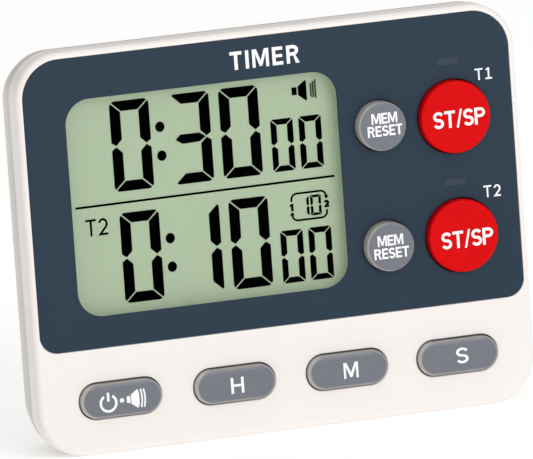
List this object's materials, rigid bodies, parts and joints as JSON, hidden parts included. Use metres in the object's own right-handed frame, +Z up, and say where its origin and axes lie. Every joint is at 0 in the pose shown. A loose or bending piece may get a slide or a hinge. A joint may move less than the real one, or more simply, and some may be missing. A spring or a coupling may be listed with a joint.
{
  "type": "lab timer",
  "caption": "Upright two-channel digital lab timer with a segment display, start/stop, reset and setting buttons, magnets and a fold-out stand.",
  "frame": {"origin": "middle of the footprint, at the height of the flat lower edge that the timer stands on", "axes": "+X along the front face to the reader's right, +Y from the front to the back, +Z up"},
  "size_m": [0.104, 0.0222, 0.081],
  "materials": {
    "shell": "satin",
    "panel": "satin",
    "window": "polished clear plastic",
    "smoke": "smoked clear plastic",
    "lcd_glass": "polished",
    "reflector": "matte",
    "foam": "foam",
    "silicone": "matte",
    "carbon_rubber": "matte",
    "board": "solder mask",
    "epoxy": "satin",
    "steel": "nickel plated",
    "lamp": "tinted clear",
    "cell": "printed sleeve",
    "magnet": "sintered ferrite",
    "red_key": "satin",
    "grey_key": "satin"
  },
  "bodies": {
    "case": {"front_shell": "shell", "rear_shell": "shell", "face_panel": "panel", "display_window": "window", "light_pipe_t1": "smoke", "light_pipe_t2": "smoke", "lcd_front_glass": "lcd_glass", "lcd_rear_glass": "lcd_glass", "lcd_reflector": "reflector", "lcd_foam_pad": "foam", "zebra_bottom": "silicone", "zebra_top": "silicone", "circuit_board": "board", "chip_blob": "epoxy", "capacitor": "epoxy", "crystal": "steel", "buzzer": "epoxy", "led_t1": "lamp", "led_t2": "lamp", "keypad_upper": "silicone", "keypad_lower": "silicone", "battery_a": "cell", "battery_b": "cell", "spring_a": "steel", "spring_b": "steel", "contact_negative": "steel", "contact_positive": "steel", "contact_bridge": "steel", "magnet_left": "magnet", "magnet_right": "magnet", "case_screw_1": "steel", "case_screw_2": "steel", "case_screw_3": "steel", "case_screw_4": "steel", "board_screw_1": "steel", "board_screw_2": "steel", "board_screw_3": "steel"},
    "button_start_t1": {"button_start_t1": "red_key", "plunger_start_t1": "carbon_rubber"},
    "button_start_t2": {"button_start_t2": "red_key", "plunger_start_t2": "carbon_rubber"},
    "button_reset_t1": {"button_reset_t1": "grey_key", "plunger_reset_t1": "carbon_rubber"},
    "button_reset_t2": {"button_reset_t2": "grey_key", "plunger_reset_t2": "carbon_rubber"},
    "key_power": {"key_power": "grey_key", "plunger_power": "carbon_rubber"},
    "key_hour": {"key_hour": "grey_key", "plunger_hour": "carbon_rubber"},
    "key_minute": {"key_minute": "grey_key", "plunger_minute": "carbon_rubber"},
    "key_second": {"key_second": "grey_key", "plunger_second": "carbon_rubber"},
    "battery_door": {"battery_door": "shell"},
    "stand": {"stand": "shell"}
  },
  "joints": [
    {"name": "start_t1_press", "type": "slide", "parent": "case", "child": "button_start_t1", "axis": [0, 1, 0], "range_m": [0, 0.0008], "stiffness_N_per_m": 1500},
    {"name": "start_t2_press", "type": "slide", "parent": "case", "child": "button_start_t2", "axis": [0, 1, 0], "range_m": [0, 0.0008], "stiffness_N_per_m": 1500},
    {"name": "reset_t1_press", "type": "slide", "parent": "case", "child": "button_reset_t1", "axis": [0, 1, 0], "range_m": [0, 0.0008], "stiffness_N_per_m": 1500},
    {"name": "reset_t2_press", "type": "slide", "parent": "case", "child": "button_reset_t2", "axis": [0, 1, 0], "range_m": [0, 0.0008], "stiffness_N_per_m": 1500},
    {"name": "power_press", "type": "slide", "parent": "case", "child": "key_power", "axis": [0, 1, 0], "range_m": [0, 0.0008], "stiffness_N_per_m": 1500},
    {"name": "hour_press", "type": "slide", "parent": "case", "child": "key_hour", "axis": [0, 1, 0], "range_m": [0, 0.0008], "stiffness_N_per_m": 1500},
    {"name": "minute_press", "type": "slide", "parent": "case", "child": "key_minute", "axis": [0, 1, 0], "range_m": [0, 0.0008], "stiffness_N_per_m": 1500},
    {"name": "second_press", "type": "slide", "parent": "case", "child": "key_second", "axis": [0, 1, 0], "range_m": [0, 0.0008], "stiffness_N_per_m": 1500},
    {"name": "battery_door_slide", "type": "slide", "parent": "case", "child": "battery_door", "axis": [0, 0, -1], "range_m": [0, 0.056]},
    {"name": "stand_hinge", "type": "hinge", "parent": "case", "child": "stand", "pos_m": [-0.0154, 0.00975, 0.0576], "axis": [1, 0, 0], "range_deg": [0, 55]}
  ]
}
